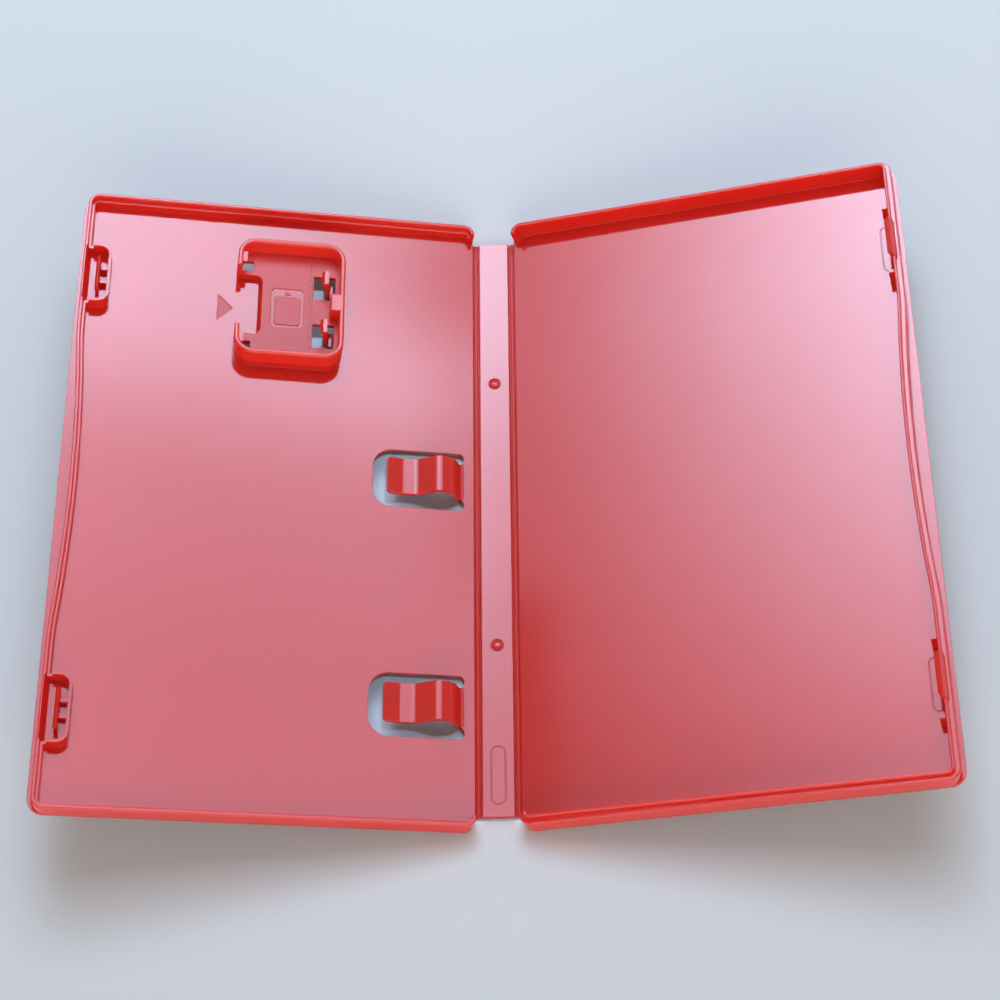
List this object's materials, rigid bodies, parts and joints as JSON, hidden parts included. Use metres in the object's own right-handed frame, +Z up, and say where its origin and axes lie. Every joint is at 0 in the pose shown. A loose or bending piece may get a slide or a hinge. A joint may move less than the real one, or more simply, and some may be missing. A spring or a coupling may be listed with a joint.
{
  "type": "game cartridge case",
  "caption": "Folding see-through case for a small game card: tray with sprung card holder and booklet clips, cover with latch hooks, clear outer sleeve.",
  "frame": {"origin": "under the middle of the spine, on the face that the open case rests on", "axes": "+X across both halves from the tray to the cover, +Y along the spine towards the end with the card holder, +Z up"},
  "size_m": [0.2128, 0.17, 0.0294],
  "materials": {
    "case_plastic": "glossy red see-through polypropylene",
    "clear_film": "thin clear plastic film"
  },
  "bodies": {
    "spine": {"spine": "case_plastic", "sleeve_spine": "clear_film"},
    "tray": {"tray_half": "case_plastic", "sleeve_tray": "clear_film"},
    "cover": {"cover_half": "case_plastic", "sleeve_cover": "clear_film"},
    "booklet_clip_upper": {"booklet_clip_upper": "case_plastic"},
    "booklet_clip_lower": {"booklet_clip_lower": "case_plastic"},
    "card_catch_upper": {"card_catch_upper": "case_plastic"},
    "card_catch_lower": {"card_catch_lower": "case_plastic"}
  },
  "joints": [
    {"name": "tray_fold", "type": "hinge", "parent": "spine", "child": "tray", "pos_m": [-0.00475, 0, 0.00055], "axis": [0, 1, 0], "range_deg": [-12.3, 77.7]},
    {"name": "cover_fold", "type": "hinge", "parent": "spine", "child": "cover", "pos_m": [0.00475, 0, 0.00055], "axis": [0, -1, 0], "range_deg": [-12.3, 77.7]},
    {"name": "booklet_clip_upper_flex", "type": "hinge", "parent": "tray", "child": "booklet_clip_upper", "pos_m": [-0.0092, 0, 0.00172], "axis": [0, 1, 0], "range_deg": [0, 12], "stiffness_Nm_per_rad": 0.08},
    {"name": "booklet_clip_lower_flex", "type": "hinge", "parent": "tray", "child": "booklet_clip_lower", "pos_m": [-0.0092, 0, 0.00172], "axis": [0, 1, 0], "range_deg": [0, 12], "stiffness_Nm_per_rad": 0.08},
    {"name": "card_catch_upper_flex", "type": "hinge", "parent": "tray", "child": "card_catch_upper", "pos_m": [-0.04225, 0, 0.00888], "axis": [0, 1, 0], "range_deg": [0, 8], "stiffness_Nm_per_rad": 0.05},
    {"name": "card_catch_lower_flex", "type": "hinge", "parent": "tray", "child": "card_catch_lower", "pos_m": [-0.04225, 0, 0.00888], "axis": [0, 1, 0], "range_deg": [0, 8], "stiffness_Nm_per_rad": 0.05}
  ]
}
